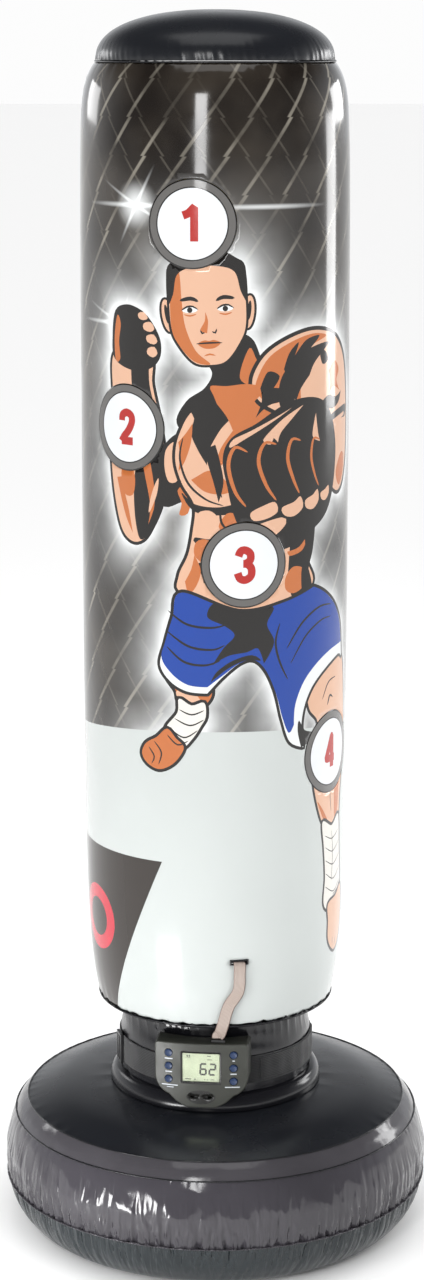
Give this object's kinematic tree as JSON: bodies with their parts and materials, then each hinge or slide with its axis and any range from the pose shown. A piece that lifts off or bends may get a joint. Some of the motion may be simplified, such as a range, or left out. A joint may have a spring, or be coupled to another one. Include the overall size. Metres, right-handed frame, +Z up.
{
  "type": "inflatable punch tower",
  "caption": "Free-standing inflatable boxing tower on a round water-filled base, with numbered round targets and an electronic hit counter strapped to its neck.",
  "frame": {"origin": "on the floor, in the middle of the base's underside", "axes": "+Z up the tower, front with the hit counter and the print faces -Y, +X to the right of someone facing the front"},
  "size_m": [0.569, 0.569, 1.6],
  "materials": {
    "black_vinyl": "black vinyl film, satin",
    "smoky_vinyl": "smoky grey see-through vinyl film, glossy",
    "water": "water",
    "valve_vinyl": "soft vinyl",
    "webbing": "woven black webbing",
    "buckle_plastic": "moulded black plastic",
    "console_plastic": "moulded dark grey plastic, satin",
    "display_window": "clear window",
    "display_panel": "pale green liquid crystal display",
    "circuit_board": "green circuit board",
    "speaker": "speaker cone and basket",
    "button_rubber": "silicone rubber",
    "button_plastic": "dark blue plastic",
    "battery_metal": "cell jacket",
    "screw_steel": "zinc plated",
    "ribbon_cable": "beige flat cable",
    "printed_vinyl": "printed vinyl film, glossy",
    "target_print": "printed vinyl film, glossy",
    "sensor_foam": "open foam",
    "sensor_film": "printed film switch"
  },
  "bodies": {
    "base": {"base_bottom_panel": "black_vinyl", "base_side_wall": "smoky_vinyl", "base_band": "smoky_vinyl", "base_top_panel": "black_vinyl", "base_lower_seam": "black_vinyl", "base_band_lower_seam": "black_vinyl", "base_band_upper_seam": "black_vinyl", "water_ballast": "water", "divider_membrane": "black_vinyl", "water_valve_body": "valve_vinyl"},
    "neck": {"neck_collar": "black_vinyl", "neck_lower_tube": "black_vinyl", "neck_upper_sleeve": "black_vinyl", "console_strap": "webbing", "ladder_lock_buckle": "buckle_plastic", "console_front_cover": "console_plastic", "console_rear_cover": "console_plastic", "battery_door": "console_plastic", "lcd_window": "display_window", "lcd_panel": "display_panel", "circuit_board": "circuit_board", "speaker": "speaker", "button_membrane_left": "button_rubber", "button_membrane_right": "button_rubber", "battery_1": "battery_metal", "battery_2": "battery_metal", "ribbon_connector": "console_plastic", "console_screw_1": "screw_steel", "console_screw_2": "screw_steel", "ribbon_cable": "ribbon_cable"},
    "tower": {"tower_wall": "printed_vinyl", "tower_top_seam": "black_vinyl", "tower_bottom_seam": "black_vinyl", "tower_top_dome": "black_vinyl", "tower_bottom_panel": "black_vinyl", "tower_vertical_seam": "black_vinyl", "air_valve_body": "valve_vinyl", "ribbon_slot_edging": "black_vinyl", "sensor_harness": "ribbon_cable", "target_spacer_1": "sensor_foam", "target_spacer_2": "sensor_foam", "target_spacer_3": "sensor_foam", "target_spacer_4": "sensor_foam", "target_sensor_1": "sensor_film", "target_sensor_2": "sensor_film", "target_sensor_3": "sensor_film", "target_sensor_4": "sensor_film"},
    "water_valve_cap": {"water_valve_cap": "valve_vinyl"},
    "air_valve_plug": {"air_valve_plug": "valve_vinyl"},
    "button_left_1": {"button_left_1": "button_plastic"},
    "button_left_2": {"button_left_2": "button_plastic"},
    "button_left_3": {"button_left_3": "button_plastic"},
    "button_right_1": {"button_right_1": "button_plastic"},
    "button_right_2": {"button_right_2": "button_plastic"},
    "button_right_3": {"button_right_3": "button_plastic"},
    "target_1": {"target_face_1": "target_print"},
    "target_2": {"target_face_2": "target_print"},
    "target_3": {"target_face_3": "target_print"},
    "target_4": {"target_face_4": "target_print"}
  },
  "joints": [
    {"name": "lean_fore_aft", "type": "hinge", "parent": "base", "child": "neck", "pos_m": [0, 0, 0.21], "axis": [1, 0, 0], "range_deg": [-13, 4], "stiffness_Nm_per_rad": 70, "deforming": ["neck_collar", "neck_lower_tube"]},
    {"name": "lean_sideways", "type": "hinge", "parent": "neck", "child": "tower", "pos_m": [0, 0, 0.29], "axis": [0, 1, 0], "range_deg": [-10, 10], "stiffness_Nm_per_rad": 60, "deforming": ["neck_upper_sleeve", "ribbon_cable"]},
    {"name": "press_button_left_1", "type": "slide", "parent": "neck", "child": "button_left_1", "axis": [0.1219, 0.9925, 0], "range_m": [0, 0.001], "stiffness_N_per_m": 300},
    {"name": "press_button_left_2", "type": "slide", "parent": "neck", "child": "button_left_2", "axis": [0.1219, 0.9925, 0], "range_m": [0, 0.001], "stiffness_N_per_m": 300},
    {"name": "press_button_left_3", "type": "slide", "parent": "neck", "child": "button_left_3", "axis": [0.1219, 0.9925, 0], "range_m": [0, 0.001], "stiffness_N_per_m": 300},
    {"name": "press_button_right_1", "type": "slide", "parent": "neck", "child": "button_right_1", "axis": [0.1219, 0.9925, 0], "range_m": [0, 0.001], "stiffness_N_per_m": 300},
    {"name": "press_button_right_2", "type": "slide", "parent": "neck", "child": "button_right_2", "axis": [0.1219, 0.9925, 0], "range_m": [0, 0.001], "stiffness_N_per_m": 300},
    {"name": "press_button_right_3", "type": "slide", "parent": "neck", "child": "button_right_3", "axis": [0.1219, 0.9925, 0], "range_m": [0, 0.001], "stiffness_N_per_m": 300},
    {"name": "press_target_1", "type": "slide", "parent": "tower", "child": "target_1", "axis": [0.1668, 0.986, 0], "range_m": [0, 0.0025], "stiffness_N_per_m": 2000},
    {"name": "press_target_2", "type": "slide", "parent": "tower", "child": "target_2", "axis": [0.6388, 0.7694, 0], "range_m": [0, 0.0025], "stiffness_N_per_m": 2000},
    {"name": "press_target_3", "type": "slide", "parent": "tower", "child": "target_3", "axis": [-0.2028, 0.9792, 0], "range_m": [0, 0.0025], "stiffness_N_per_m": 2000},
    {"name": "press_target_4", "type": "slide", "parent": "tower", "child": "target_4", "axis": [-0.866, 0.5, 0], "range_m": [0, 0.0025], "stiffness_N_per_m": 2000},
    {"name": "pull_off_water_valve_cap", "type": "slide", "parent": "base", "child": "water_valve_cap", "axis": [0, 0, 1], "range_m": [0, 0.02]},
    {"name": "pull_out_air_valve_plug", "type": "slide", "parent": "tower", "child": "air_valve_plug", "axis": [0, 1, 0], "range_m": [0, 0.02]}
  ]
}
